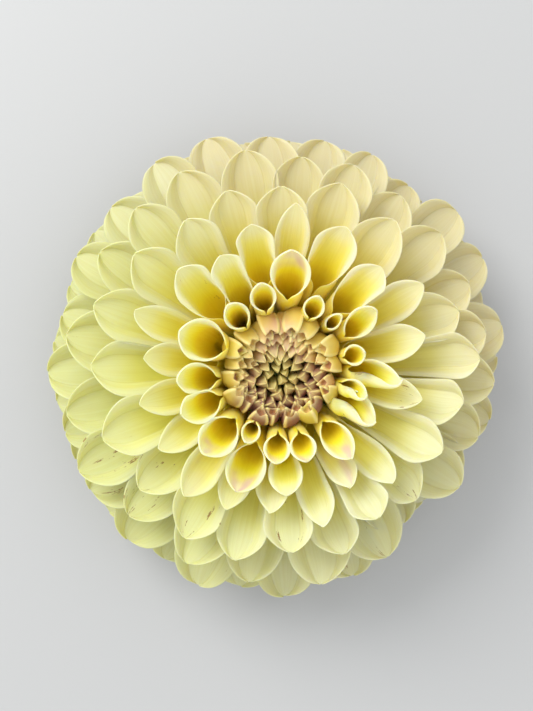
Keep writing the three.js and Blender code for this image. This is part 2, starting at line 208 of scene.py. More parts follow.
def spine(row, reach, lift):
    """The floret's back from foot to tip: share of its length, distance from the axis, height and slope."""
    foot = dome_point(row["feet"], FOOT_LIFT)
    tip = np.array([reach, row["tip_z"] + lift + row["fall"] * (row["full_reach"] - reach)])
    pull = HANDLE * np.linalg.norm(tip - foot)
    first, second = foot + pull * heading(row["leave"]), tip - pull * heading(row["arrive"])
    s = np.linspace(0, 1, SPINE_STEPS)[:, None]
    curve = (1 - s) ** 3 * foot + 3 * (1 - s) ** 2 * s * first + 3 * (1 - s) * s**2 * second + s**3 * tip
    steps = np.diff(curve, axis=0)
    lengths = np.linalg.norm(steps, axis=1)
    share = np.concatenate([[0], np.cumsum(lengths)]) / lengths.sum()
    middle = (share[1:] + share[:-1]) / 2
    slope = np.arctan2(steps[:, 1], steps[:, 0]) + math.radians(row["hook"]) * smooth(HOOK_FROM, 1, middle)
    hooked = np.stack([np.cos(slope), np.sin(slope)], axis=1) * lengths[:, None]
    points = foot + np.concatenate([[[0, 0]], np.cumsum(hooked, axis=0)])
    return share, points[:, 0], points[:, 1], np.interp(share, middle, slope)


# %% [markdown]
# ## Rolling a flat sheet into a floret
#
# A ray floret is a flat strap that is rolled across its width. At its foot the margins have grown
# together in a tube, then they part at a round mouth and the strap opens into a spoon, with two creases
# that run to the tip. A bend modifier rolls a sheet by one angle all along, so the grid is rolled here
# point by point: each cross-section is an arc, of the same length as the strap is wide there, that
# turns by its own angle. The turn happens mostly at the two creases, so the floret gets a flat middle
# and two raised flanks.
#
# The younger florets round the disc stay tubes, and are cut aslant like a quill. The wall of the tube
# is a full circle at the bottom of the mouth, and less and less of it is left towards the tip. Its edge
# turns out to a lip, and a few florets curl one side over the mouth.

# %% Cross-sections
ARC_STEPS = 32
CREASE_AT = (0.35, 0.43)
CREASE_SHARPNESS = 0.9
FOOT_WIDTH = 0.18
FOOT_SWELL = 1.3
TIP_WIDTH = 0.03
TIP_BLUNT = 2.3
TIP_SHARP = 5
MOUTH_POWER = 0.38
PINCH_FROM = 0.75
LEAST_TURN = 0.12
LIP_FROM = 0.8
LIP_FLARE = 1.25
LIP_GROWS = (0.04, 0.45)
LIP_NEEDS_TURN = 1.2
CURL_FROM = 0.15
CURL_GROWS = (0, 0.12)
CURL_EASES = (0.6, 1)
CURL_EASED = 0.4
TUBE_ROWS = 0.22
STRAP_COLUMNS = (0, 0.16, 0.31, 0.39, 0.48, 0.72, 1)
TUBE_COLUMNS = (0, 0.19, 0.35, 0.48, 0.66, 0.84, 1)


def column_place(u, columns):
    """Moves the columns of an even grid, to the sides of a strap's creases or evenly round a tube."""
    return np.sign(u) * np.interp(np.abs(u), np.linspace(0, 1, len(columns)), columns)


def length_share(t, mouth):
    """How far along the floret a row of the grid lies. Rows crowd at the mouth's bottom and at the tip."""
    x = np.clip((t - TUBE_ROWS) / (1 - TUBE_ROWS), 0, 1)
    tube = mouth * np.clip(t / TUBE_ROWS, 0, 1)
    return tube + (1 - mouth) * (1 - np.cos(math.pi * x)) / 2


def swelling(share, end):
    """How the width grows from the foot to its greatest."""
    return FOOT_WIDTH + (1 - FOOT_WIDTH) * np.sin(np.clip(share / end, 0, 1) * math.pi / 2) ** FOOT_SWELL


def strap_width(share, row):
    """The strap's half-width there, as a share of its greatest."""
    belly = row["belly"]
    beyond = np.clip((share - belly) / (1 - belly), 0, 1)
    above = TIP_WIDTH + (1 - TIP_WIDTH) * (1 - beyond**TIP_BLUNT) ** row["ogive"]
    return np.where(share < belly, swelling(share, belly), above)


def rolled(u, turn, crease, flare, curl):
    """Sideways and upward place of a point at u of a strap one wide, once it has turned by an angle."""
    k = (np.arange(ARC_STEPS) + 0.5) / ARC_STEPS
    a = np.abs(u)[:, None] * k
    angle = turn[:, None] * (a + crease[:, None] * (smooth(*CREASE_AT, a) - a))
    angle -= flare[:, None] * smooth(LIP_FROM, 1, a)
    angle += curl[:, None] * smooth(CURL_FROM, 1, a)
    return u * np.cos(angle).mean(1), np.abs(u) * np.sin(angle).mean(1)


def quill(share, opened, row):
    """A tube cut off aslant like a quill: the angle that its wall still turns through, and the half-width."""
    at_mouth, at_tip, skew = row["tube"]
    turn = np.arccos(np.clip(2 * opened**skew - 1, -1, math.cos(LEAST_TURN)))
    radius = (at_mouth + (at_tip - at_mouth) * smooth(0, 1, opened)) * swelling(share, row["mouth"])
    pointed = (1 - opened**TIP_SHARP) ** row["point"]
    return turn, radius * turn * pointed


def cross_sections(u, share, opened, row):
    """The place of each point in a section one half-width wide, and the half-width and the turn there."""
    if "tube" in row:
        turn, half = quill(share, opened, row)
    else:
        turn = math.pi - (math.pi - row["opening"]) * (opened * (2 - opened)) ** MOUTH_POWER
        turn += row["pinch"] * smooth(PINCH_FROM, 1, opened)
        half = row["half_width"] * strap_width(share, row)
    curl = row.get("curl", 0) * (u > 0) * smooth(*CURL_GROWS, opened)
    curl *= 1 - CURL_EASED * smooth(*CURL_EASES, opened)
    flare = LIP_FLARE * row.get("lip", 1) * smooth(*LIP_GROWS, opened) * smooth(0, LIP_NEEDS_TURN, turn)
    across, up = rolled(u, turn, row["crease"] * smooth(0, 0.5, opened), flare * (curl == 0), curl)
    return across, up, half, turn


# %% Laying a floret on its spine
# how much the florets of a row differ: millimetres up, degrees of swing and of roll, share of the width
UNLIKE = (0.4, 1.5, 5, 0.04)
WIDEST_SECTOR = 1
WAVES = 1.6
NOT_ZERO = 1e-6


def sector_room(row, bearing):
    """The angles to half way to the next florets of the row, on the right and on the left."""
    gaps = sorted((other[0] - bearing) % 360 for other in row["places"] if other[0] != bearing)
    halves = (math.radians(360 - gaps[-1]) / 2, math.radians(gaps[0]) / 2)
    return [min(WIDEST_SECTOR, half) for half in halves]


def floret_points(u, t, row, number, rng):
    """Where each point of the flat sheet goes, in millimetres, and how far each is from mouth to tip."""
    bearing, reach, *habits = row["places"][number]
    for habit in habits:
        row = {**row, **habit}
    lift, swing, roll, size = rng.normal(0, 1, 4) * UNLIKE
    lift += row["step"] * (-1) ** number
    share = length_share(t, row["mouth"])
    opened = np.clip((share - row["mouth"]) / (1 - row["mouth"]), 0, 1)
    across, up, half, turn = cross_sections(u, share, opened, row)
    half = half * (1 + size)
    at, far, high, slope = spine(row, reach, lift)
    far, high, slope = (np.interp(share, at, line) for line in (far, high, slope))

    # neither side may reach further than half way to its neighbour
    room = np.tan(np.where(u > 0, *sector_room(row, bearing)))
    inward = np.clip(np.sin(slope), 0, 1) * up
    free = (far * room + row["overlap"] * share**3) / (np.abs(across) + inward * room + NOT_ZERO)
    for section in np.unique(t):
        for flank in ((t == section) & (u >= 0), (t == section) & (u < 0)):
            half[flank] = np.minimum(half[flank], free[flank].min())
    across, up = across * half, up * half
    phase = 2 * math.pi * (WAVES * share + rng.random()) + 2 * u
    up += row["wave"] * np.abs(u) ** 3 * np.sin(phase) * opened

    # roll about the middle of the section, then stand the section across the spine
    middle = half / turn
    lean = math.radians(roll + row.get("roll", 0)) * share
    across, up = (
        across * np.cos(lean) - (up - middle) * np.sin(lean),
        middle + across * np.sin(lean) + (up - middle) * np.cos(lean),
    )
    far = far - np.sin(slope) * up
    high = high + np.cos(slope) * up
    turned = np.radians(bearing + swing * (share - 1))
    x = far * np.cos(turned) + across * np.sin(turned)
    y = far * np.sin(turned) - across * np.cos(turned)
    return np.stack([x, y, high], axis=1), (share - row["mouth"]) / (1 - row["mouth"])


# %% Sheets, tubes, and how a piece is finished
def only(piece):
    """Makes one piece the selected and the active one, so that an operator acts on nothing else."""
    bpy.ops.object.select_all(action="DESELECT")
    piece.select_set(True)
    bpy.context.view_layer.objects.active = piece


def flat_sheet(across, along):
    """A flat grid from -1 to 1 both ways: the strap before it is rolled."""
    bpy.ops.object.select_all(action="DESELECT")
    bpy.ops.mesh.primitive_grid_add(x_subdivisions=across, y_subdivisions=along, size=2)
    return bpy.context.object


def ring_by_ring(sides, rings):
    """A closed body that grows out of a circle. Each ring is a height and a radius."""
    start, radius = rings[0]
    bpy.ops.object.select_all(action="DESELECT")
    bpy.ops.mesh.primitive_circle_add(vertices=sides, radius=radius, fill_type="NGON", location=(0, 0, start))
    body = bpy.context.object
    bpy.ops.object.transform_apply(location=True, rotation=False, scale=False)
    bpy.ops.object.mode_set(mode="EDIT")
    bpy.ops.mesh.select_all(action="SELECT")
    for (low, thin), (high, wide) in zip(rings, rings[1:]):
        bpy.ops.mesh.extrude_region_move(TRANSFORM_OT_translate={"value": (0, 0, high - low)})
        bpy.ops.transform.resize(value=(wide / thin, wide / thin, 1))
    bpy.ops.mesh.select_all(action="SELECT")
    bpy.ops.mesh.normals_make_consistent(inside=False)
    bpy.ops.object.mode_set(mode="OBJECT")
    return body


def own_copy(pattern, name):
    """A copy with a mesh of its own."""
    piece = pattern.copy()
    piece.data = pattern.data.copy()
    piece.name = piece.data.name = name
    bpy.context.scene.collection.objects.link(piece)
    return piece


def corners_of(piece):
    """The places of the points of a piece."""
    return np.array([v.co for v in piece.data.vertices])


def move_corners(piece, points):
    """Puts the points of a piece at places in millimetres."""
    piece.data.vertices.foreach_set("co", (points * MM).astype(np.float32).ravel())
    piece.data.update()


def put_attributes(piece, **numbers):
    """Stores numbers for a material to read: each is one for every point, or one for all of them."""
    for name, number in numbers.items():
        column = np.full(len(piece.data.vertices), number, np.float32)
        piece.data.attributes.new(name, "FLOAT", "POINT").data.foreach_set("value", column)


def set_creases(piece, sharpness):
    """Keeps the edges between two points sharp when they are rounded, by the sharpness at both points."""
    ends = np.array([edge.vertices for edge in piece.data.edges])
    values = np.minimum(sharpness[ends[:, 0]], sharpness[ends[:, 1]]).astype(np.float32)
    piece.data.attributes.new("crease_edge", "FLOAT", "EDGE").data.foreach_set("value", values)


def weld(piece):
    """Joins the points of a mesh that lie in one place, as along the seam of a tube."""
    only(piece)
    bpy.ops.object.mode_set(mode="EDIT")
    bpy.ops.mesh.select_all(action="SELECT")
    bpy.ops.mesh.remove_doubles(threshold=0.02 * MM)
    bpy.ops.object.mode_set(mode="OBJECT")


def make_round(piece, levels):
    """Rounds a mesh and shades it smooth."""
    only(piece)
    bpy.ops.object.modifier_add(type="SUBSURF")
    rounder = piece.modifiers[-1]
    rounder.levels = rounder.render_levels = levels
    bpy.ops.object.modifier_apply(modifier=rounder.name)
    bpy.ops.object.shade_smooth()


def thicken(piece, thickness):
    """Gives a sheet its thickness on its lower side and rounds it."""
    only(piece)
    bpy.ops.object.modifier_add(type="SOLIDIFY")
    wall = piece.modifiers[-1]
    wall.thickness = thickness * MM
    wall.offset = -1
    wall.use_even_offset = False
    bpy.ops.object.modifier_apply(modifier=wall.name)
    make_round(piece, 1)


def finish_piece(piece, node):
    """Hangs the piece on the frame's root body and hides the CAD node that it stands for."""
    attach(piece, "root")
    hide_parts(node)


# %% Making the florets
THICKNESS = {"petal": 0.3, "young_petal": 0.45}
PETAL_CLEARANCE = 0.6
# bearings of the florets that have a pink blush inside, or brown flecks, and how strong it is
BLUSHED = {
    "cup": {87: 0.7, 225: 0.8, 249: 0.9, 307: 1.0, 331: 0.5},
    "trumpet": {106: 0.4, 242: 0.5, 265: 0.6, 284: 0.7},
    "inner": {299: 0.7, 264: 0.3, 232: 0.3},
}
FLECKED = {
    "inner": {137: 0.5, 348: 0.9, 232: 0.5, 119: 0.4},
    "middle": {220: 1.2, 316: 0.8, 201: 0.4, 240: 1.2, 273: 1.2},
    "outer": {224: 1.7, 171: 0.6, 207: 1.3, 300: 0.6},
    "rim": {213: 1.7, 250: 1.6, 290: 0.7, 181: 0.5},
    "cup": {307: 0.3, 331: 1.0, 356: 0.5},
}

rng = np.random.default_rng(7)


def make_row(row_name, row, name, columns, thickness, clearance):
    """The pieces of one row: each is a copy of one flat sheet, rolled and laid on a spine of its own."""
    pattern = flat_sheet(*row["grid"])
    corners = corners_of(pattern)
    u, t = column_place(corners[:, 0], columns), (corners[:, 1] + 1) / 2
    on_crease = np.abs(np.abs(corners[:, 0]) - 0.5) < 0.01
    set_creases(pattern, CREASE_SHARPNESS * min(1, row["crease"]) * on_crease * smooth(0.3, 0.8, t))
    pieces = []
    for number, (bearing, *_) in enumerate(row["places"]):
        piece = own_copy(pattern, name.format(number + 1))
        points, from_mouth = floret_points(u, t, row, number, rng)
        points[:, 2] = np.maximum(points[:, 2], clearance)
        move_corners(piece, points)
        put_attributes(piece, from_mouth=from_mouth, side=u, mood=rng.random())
        if "age" in row:
            blush, flecks = (marked.get(row_name, {}).get(bearing, 0) for marked in (BLUSHED, FLECKED))
            put_attributes(piece, age=row["age"], blush=blush, flecks=flecks)
        weld(piece)
        thicken(piece, thickness)
        finish_piece(piece, row["node"].format(number + 1))
        pieces.append(piece)
    bpy.data.objects.remove(pattern)
    return pieces


florets = {"petal": [], "young_petal": []}
for row_name, row in ROWS.items():
    slot = "young_petal" if row_name in ("cup", "trumpet") else "petal"
    columns = TUBE_COLUMNS if "tube" in row else STRAP_COLUMNS
    name = row_name + "_petal_{:02d}"
    florets[slot] += make_row(row_name, row, name, columns, THICKNESS[slot], PETAL_CLEARANCE)
for slot, pieces in florets.items():
    print(slot, "pieces:", len(pieces), "triangles:", sum(2 * len(p.data.polygons) for p in pieces))

# %% [markdown]
# ## Unopened florets
#
# The disc on the crown is a crowd of florets that have not opened. They stand along a spiral, each the
# golden angle further on than the last, and all lean to the point where the youngest grow. The outer
# ones end in a small pit between three folded teeth, and the inner ones are still shut to a point.
#
# One is built here out of a circle, ring by ring, with the last ring pushed down into the pit, and the
# three edges between the teeth are pulled out to ridges. Every copy is blended with its shut shape and
# bent along its own line.

# %% One unopened floret
BUD_SIDES = 12
# height and radius of each ring, as shares: the shaft, the lip, and down into the pit
BUD_RINGS = (
    (0, 0.45), (0.3, 0.78), (0.54, 0.97), (0.74, 0.97), (0.88, 0.78), (1, 0.46), (0.99, 0.36), (0.84, 0.28)
)
TOOTH_RIDGES = 3
RIDGE_FROM = (0.25, 0.6)
RIDGE_SHARPNESS = 0.85
RIDGE_OUT, VALLEY_IN = 0.34, 0.14
TOOTH_NOTCH = 0.05

bud_pattern = ring_by_ring(BUD_SIDES, BUD_RINGS)
shape = corners_of(bud_pattern)
around = np.arctan2(shape[:, 1], shape[:, 0])
ring_radius = np.hypot(shape[:, 0], shape[:, 1])
teeth = np.cos(TOOTH_RIDGES * around)
ridge = np.clip(-teeth, 0, 1) ** 2 * smooth(*RIDGE_FROM, shape[:, 2])
pit = (shape[:, 2] > 0.8) * (ring_radius < 0.3)
set_creases(bud_pattern, RIDGE_SHARPNESS * ridge * (1 - pit))
shape[:, 2] -= TOOTH_NOTCH * teeth * smooth(0.75, 0.95, shape[:, 2]) * (1 - pit)
pulled = (RIDGE_OUT * ridge - VALLEY_IN) * smooth(0.3, 0.75, shape[:, 2]) * (1 - pit)
shape[:, :2] *= (1 + pulled)[:, None]

# the same floret shut: the lip closes and the pit is turned out to a point
lip = (shape[:, 2] > 0.95) * (1 - pit)
inner_lip = lip * (ring_radius < 0.4)
shut_shape = shape.copy()
shut_shape[:, :2] *= (1 - 0.5 * lip - 0.9 * pit)[:, None]
shut_shape[:, 2] = np.where(pit > 0, 1.1, shape[:, 2] + 0.05 * inner_lip)
print("bud pattern faces:", len(bud_pattern.data.polygons), "points:", len(bud_pattern.data.vertices))

# %% Where the unopened florets stand
GOLDEN_ANGLE = 137.508
BUD_COUNT = 68
BUD_CROWN = 46
BUD_SPREAD = 0.56
BUD_WHORLS = {"buds_inner": (0, 16), "buds_middle": (16, 31), "buds_outer": (31, 47)}
BUD_FOOT_LIFT = 0.4
BUD_TIP_Z = (46, 51)
BUD_TIP_REACH = 12.8
BUD_BEND_REACH = 19
BUD_BEND_BELOW = (4, 6)
BUD_BEAK = 8
BUD_RADIUS = 2.9
BUD_CENTRE_SIZE = 0.4
BUD_LEAN = 4
BUD_WIDE_MOUTH = 0.5
BUD_SWAY, BUD_SPIN, BUD_UNEVEN = 0.3, 0.35, 0.25
DISC_CENTRE = (0, 1.1)
GROWTH_CENTRE = (-0.3, -2.2)


def from_centre(ends, share):
    """A number that changes evenly from the middle of the disc to its rim."""
    return ends[0] + (ends[1] - ends[0]) * share


def bud_points(shape, share, bearing, rng):
    """Bends the pattern along its line from the dome to its beak, in millimetres."""
    angle = math.radians(bearing)
    foot = dome_point(share * BUD_CROWN, BUD_FOOT_LIFT)
    tip_z = from_centre(BUD_TIP_Z, share**2) + rng.normal(0, BUD_UNEVEN)
    tip = np.array([share * (BUD_TIP_REACH - BUD_LEAN * max(math.sin(angle), 0)), tip_z])
    bend = np.array([share * BUD_BEND_REACH, tip_z - from_centre(BUD_BEND_BELOW, share)])
    s = shape[:, 2][:, None].clip(0, 1)
    line = (1 - s) ** 2 * foot + 2 * (1 - s) * s * bend + s**2 * tip
    along = 2 * (1 - s) * (bend - foot) + 2 * s * (tip - bend)
    along /= np.linalg.norm(along, axis=1)[:, None]
    radius = BUD_RADIUS * from_centre((BUD_CENTRE_SIZE, 1), share)
    spin = rng.normal(0, BUD_SPIN)
    wider = BUD_WIDE_MOUTH * rng.uniform(0.4, 1) * smooth(0.6, 0.95, share) * smooth(0.8, 1, shape[:, 2])
    outward = radius * (1 + wider) * (shape[:, 0] * math.cos(spin) - shape[:, 1] * math.sin(spin))
    across = radius * (1 + wider) * (shape[:, 0] * math.sin(spin) + shape[:, 1] * math.cos(spin))
    beyond = (shape[:, 2] - s[:, 0]) * BUD_BEAK
    far = line[:, 0] + along[:, 1] * outward + along[:, 0] * beyond
    high = line[:, 1] - along[:, 0] * outward + along[:, 1] * beyond
    towards_growth = shape[:, 2] * (1 - share**3)
    sway = rng.normal(0, BUD_SWAY, 2)
    x = far * math.cos(angle) - across * math.sin(angle) + DISC_CENTRE[0]
    y = far * math.sin(angle) + across * math.cos(angle) + DISC_CENTRE[1]
    x += GROWTH_CENTRE[0] * towards_growth + sway[0] * s[:, 0] ** 2
    y += GROWTH_CENTRE[1] * towards_growth + sway[1] * s[:, 0] ** 2
    return np.stack([x, y, high], axis=1)


# %% Making the unopened florets
SHUT_WITHIN = (0.7, 0.84)
SHUT_UNEVEN = 0.08
RIPE_FROM = (0.82, 0.98)

buds = []
for whorl, (low, high) in BUD_WHORLS.items():
    members = []
    for i in range(BUD_COUNT):
        share = ((i + 0.5) / BUD_COUNT) ** BUD_SPREAD
        if not low <= share * BUD_CROWN < high:
            continue
        piece = own_copy(bud_pattern, f"{whorl}_{i:02d}")
        shut = 1 - smooth(*SHUT_WITHIN, share + rng.normal(0, SHUT_UNEVEN))
        bearing = i * GOLDEN_ANGLE
        move_corners(piece, bud_points(shape + (shut_shape - shape) * shut, share, bearing, rng))
        mood = rng.random()
        pinker = smooth(0.5, 0.9, math.sin(math.radians(bearing)))
        ripe = smooth(*RIPE_FROM, share) * rng.random() ** 0.5 * (1 - 0.8 * pinker)
        put_attributes(piece, ridge=ridge, pit=pit * (1 - shut), height=shape[:, 2], mood=mood, ripe=ripe)
        members.append(piece)
    bpy.ops.object.select_all(action="DESELECT")
    for piece in members:
        piece.select_set(True)
    bpy.context.view_layer.objects.active = members[0]
    bpy.ops.object.join()
    whole = bpy.context.object
    whole.name = whole.data.name = whorl
    make_round(whole, 1)
    finish_piece(whole, whorl.replace("buds", "bud_florets"))
    buds.append(whole)
bpy.data.objects.remove(bud_pattern)
print("bud pieces:", [(piece.name, 2 * len(piece.data.polygons)) for piece in buds])

# %% [markdown]
# ## Bracts
#
# Two rings of green scales held the bud before it opened: eight thin ones against the backs of the
# florets and five narrow fleshy ones that turn down under them. Each is a strap too, hardly rolled, so
# the sheet that makes the florets makes them.

# %% Making the bracts
BRACT_CLEARANCE = 0.9
ALL_BRACTS = dict(mouth=0.02, pinch=0.2, crease=0, wave=0.3, fall=0, step=0, overlap=0, grid=(8, 12))
BRACT_ROWS = {
    "outer_bract_leaf": dict(
        ALL_BRACTS, node="outer_bract_{}", feet=139, leave=-46, arrive=-26, tip_z=2.2, full_reach=24,
        half_width=4.4, opening=0.7, hook=-14, belly=0.45, ogive=0.85, thickness=0.7,
        places=evenly(5, 24, 20),
    ),
    "inner_bract_leaf": dict(
        ALL_BRACTS, node="inner_bracts", feet=130.5, leave=-30, arrive=-24, tip_z=4.6, full_reach=30,
        half_width=6.2, opening=0.9, hook=4, belly=0.55, ogive=0.7, thickness=0.35,
        places=evenly(8, 30, 8),
    ),
}

bracts = []
for row_name, row in BRACT_ROWS.items():
    name = row_name + "_{}"
    bracts += make_row(row_name, row, name, (0, 1), row["thickness"], BRACT_CLEARANCE)
print("bract pieces:", [piece.name for piece in bracts])

# %% [markdown]
# ## Receptacle and stem
#
# The receptacle is a fleshy dome that narrows to the stem. A sphere has that dome already, and its
# lowest ring is hidden in the top of the stem, which widens to meet it. The stem is a hollow ribbed
# tube with a cut end: it grows ring by ring out of a circle, from the bottom of the hollow over the cut
# rim up to the flare.

# %% Making the receptacle
bpy.ops.object.select_all(action="DESELECT")
bpy.ops.mesh.primitive_uv_sphere_add(
    segments=48, ring_count=28, radius=RECEPTACLE_RADIUS * MM, location=(0, 0, RECEPTACLE_Z * MM)
)
flower_base = bpy.context.object
flower_base.name = flower_base.data.name = "flower_base"
bpy.ops.object.transform_apply(location=True, rotation=False, scale=False)
bpy.ops.object.shade_smooth()
finish_piece(flower_base, "receptacle")
print("receptacle faces:", len(flower_base.data.polygons))

# %% Making the stem
STEM_SIDES = 24
RIB_DEPTH = 0.035
OUTER_WALL = 3
# height and radius of each ring: hollow, cut rim, up the stem, and the flare under the receptacle
STEM_RINGS = (
    (4.5, 1.2), (4.2, 1.7), (1.25, 1.8), (1.0, 1.95), (1.0, 2.9), (1.2, 3.12), (3.0, 3.18), (5.5, 3.22),
    (8.0, 3.3), (9.8, 3.55), (11.0, 4.3), (11.9, 5.6), (12.6, 6.6), (13.2, 5.5),
)

cut_stem = ring_by_ring(STEM_SIDES, [(height * MM, radius * MM) for height, radius in STEM_RINGS])
cut_stem.name = cut_stem.data.name = "cut_stem"
corners = corners_of(cut_stem) / MM
around, out = np.arctan2(corners[:, 1], corners[:, 0]), np.hypot(corners[:, 0], corners[:, 1])
ribs = np.cos(around * STEM_SIDES / 3) * (out > OUTER_WALL) * smooth(13, 10, corners[:, 2])
corners[:, :2] *= (1 + RIB_DEPTH * ribs)[:, None]
move_corners(cut_stem, corners)
make_round(cut_stem, 2)
finish_piece(cut_stem, "stem")
print("stem faces:", len(cut_stem.data.polygons))

# %% [markdown]
# ## What the pieces are made of
#
# A petal is a thin wet tissue: light goes in, is coloured and comes out beside the place where it went
# in, so it gets subsurface scattering. Its colour runs from ochre gold deep in the tube to pale cream
# at the tip, and the older a floret is the paler it is. What varies over a floret is painted by masks
# that read the attributes stored on its points, so every mark follows the floret however it bends.

# %% Helpers for materials
def add(tree, kind, inputs=None, **settings):
    """Adds a shader node. Its inputs are numbers, colours or other nodes' outputs, by name or number."""
    node = tree.nodes.new(kind)
    for name, value in settings.items():
        setattr(node, name, value)
    for key, value in (inputs or {}).items():
        if isinstance(value, bpy.types.NodeSocket):
            tree.links.new(value, node.inputs[key])
        else:
            node.inputs[key].default_value = value
    return node


def mask(tree, value, low, high, bottom=0.0, top=1.0):
    """An even S from bottom to top as the value goes from low to high."""
    inputs = {"Value": value, "From Min": low, "From Max": high, "To Min": bottom, "To Max": top}
    return add(tree, "ShaderNodeMapRange", inputs, interpolation_type="SMOOTHSTEP").outputs["Result"]


def maths(tree, operation, *values):
    """One step of arithmetic."""
    return add(tree, "ShaderNodeMath", dict(enumerate(values)), operation=operation).outputs["Value"]


def blend(tree, factor, below, above, mode="MIX"):
    """Lays one colour over another."""
    inputs = {0: factor, 6: below, 7: above}
    return add(tree, "ShaderNodeMix", inputs, data_type="RGBA", blend_type=mode).outputs[2]


def on_piece(tree):
    """The place of what is shaded, in metres."""
    return add(tree, "ShaderNodeTexCoord").outputs["Object"]


def part_of(tree, place, axis):
    """One of the three numbers of a place."""
    return add(tree, "ShaderNodeSeparateXYZ", {"Vector": place}).outputs[axis]


def from_axis(tree, place, centre=(0, 0, 0)):
    """How far a place lies from an upright line."""
    away = add(tree, "ShaderNodeVectorMath", {0: place, 1: centre}, operation="SUBTRACT").outputs[0]
    level = add(tree, "ShaderNodeVectorMath", {0: away, 1: (1, 1, 0)}, operation="MULTIPLY").outputs[0]
    return add(tree, "ShaderNodeVectorMath", {0: level}, operation="LENGTH").outputs["Value"]


def stored(tree, name):
    """A number that the mesh keeps for each of its points."""
    return add(tree, "ShaderNodeAttribute", attribute_name=name).outputs["Fac"]


def noise(tree, place, scale, detail=3.0, rough=0.55):
    """Soft random spots at a place."""
    inputs = {"Vector": place, "Scale": scale, "Detail": detail, "Roughness": rough}
    return add(tree, "ShaderNodeTexNoise", inputs).outputs["Fac"]


def vector(tree, x, y, z):
    """Three numbers as one place."""
    return add(tree, "ShaderNodeCombineXYZ", {"X": x, "Y": y, "Z": z}).outputs["Vector"]


def shared_effect(name, takes, gives):
    """A node group with named inputs and outputs, and the two nodes at its ends."""
    tree = bpy.data.node_groups.new(name, "ShaderNodeTree")
    for label, kind in takes.items():
        tree.interface.new_socket(label, in_out="INPUT", socket_type=kind)
    for label, kind in gives.items():
        tree.interface.new_socket(label, in_out="OUTPUT", socket_type=kind)
    return tree, tree.nodes.new("NodeGroupInput").outputs, tree.nodes.new("NodeGroupOutput").inputs


def use_effect(tree, effect, inputs):
    """Puts a shared effect into a material."""
    return add(tree, "ShaderNodeGroup", inputs, node_tree=effect).outputs


def new_material(name, roughness):
    """A material with a Principled shader, and the shader."""
    material = bpy.data.materials.new(name)
    material.use_nodes = True
    shader = material.node_tree.nodes["Principled BSDF"]
    shader.inputs["Roughness"].default_value = roughness
    return material, material.node_tree, shader


def add_relief(tree, shader, height, strength, depth):
    """Makes a mask stand out of the skin, by a depth in millimetres."""
    bump = add(tree, "ShaderNodeBump", {"Height": height, "Strength": strength, "Distance": depth * MM})
    tree.links.new(bump.outputs["Normal"], shader.inputs["Normal"])


def let_light_in(shader, weight, radius, scale):
    """Subsurface scattering: how much, how far each colour goes, and its scale in millimetres."""
    shader.inputs["Subsurface Weight"].default_value = weight
    shader.inputs["Subsurface Radius"].default_value = radius
    shader.inputs["Subsurface Scale"].default_value = scale * MM


# %% Colour along and across a floret
FLOAT, COLOUR = "NodeSocketFloat", "NodeSocketColor"
DEPTH_COLOURS = (
    (0.0, (0.92, 0.68, 0.006, 1)),
    (0.14, (0.94, 0.76, 0.015, 1)),
    (0.3, (0.92, 0.8, 0.08, 1)),
    (0.5, (0.9, 0.82, 0.2, 1)),
    (0.72, (0.88, 0.84, 0.34, 1)),
    (1.0, (0.87, 0.85, 0.47, 1)),
)
MARGIN_CREAM = (0.85, 0.84, 0.54, 1)
# painted shade laid over the older rows, which at the outside slope away from the light
PAINTED_OUTER_SHADE = (0.745, 0.73, 0.735, 1)
FOLD_AT = 0.4
FOLD_WIDTH = 0.035
FOLD_SHADE = (0.88, 0.83, 0.68, 1)

petal_colour, given, result = shared_effect(
    "petal_colour", {"Along": FLOAT, "Side": FLOAT, "Age": FLOAT, "Mood": FLOAT}, {"Color": COLOUR}
)
here = petal_colour
# from the depth of the tube to the tip, sooner on an old floret and unevenly
drift = noise(here, vector(here, given["Side"], given["Along"], given["Mood"]), 1.6, 2.0)
older = maths(here, "MULTIPLY", given["Age"], 0.36)
place = maths(here, "MULTIPLY_ADD", given["Along"], 0.62, older)
place = maths(here, "MULTIPLY_ADD", drift, 0.16, place)
ramp = add(here, "ShaderNodeValToRGB", {"Fac": maths(here, "SUBTRACT", place, 0.06)})
while len(ramp.color_ramp.elements) < len(DEPTH_COLOURS):
    ramp.color_ramp.elements.new(1)
for stop, (position, colour) in zip(ramp.color_ramp.elements, DEPTH_COLOURS):
    stop.position, stop.color = position, colour
# cream on the flanks outside the creases, on the margins and at the tip
from_middle = maths(here, "ABSOLUTE", given["Side"])
flank = maths(here, "MULTIPLY", mask(here, from_middle, 0.375, 0.41, 0.15, 0.62), given["Age"])
margin = mask(here, from_middle, 0.45, 0.82, 0.0, 0.95)
margin = maths(here, "MULTIPLY", margin, mask(here, given["Age"], 0.2, 1.0, 1.0, 0.7))
margin = maths(here, "MULTIPLY", margin, mask(here, given["Along"], -0.03, 0.12, 0.25, 1.0))
tip = mask(here, given["Along"], 0.5, 0.92, 0.0, 0.68)
paler = maths(here, "MAXIMUM", flank, maths(here, "MAXIMUM", margin, tip))
skin = blend(here, paler, ramp.outputs["Color"], MARGIN_CREAM)
# painted shade: the older the floret the darker, as the outer rows slope away from the light
skin = blend(here, mask(here, given["Age"], 0.05, 1.0), skin, PAINTED_OUTER_SHADE, "MULTIPLY")
# a thin shaded line in each crease, here and there
from_fold = maths(here, "ABSOLUTE", maths(here, "SUBTRACT", from_middle, FOLD_AT))
fold = maths(here, "MULTIPLY", mask(here, from_fold, 0.0, FOLD_WIDTH, 0.8, 0.0), given["Age"])
fold = maths(here, "MULTIPLY", fold, mask(here, drift, 0.4, 0.6, 0.2, 1.0))
here.links.new(blend(here, fold, skin, FOLD_SHADE, "MULTIPLY"), result["Color"])

# %% Fine veins
VEINS_ACROSS = 14.0
VEINS_ALONG = 1.1

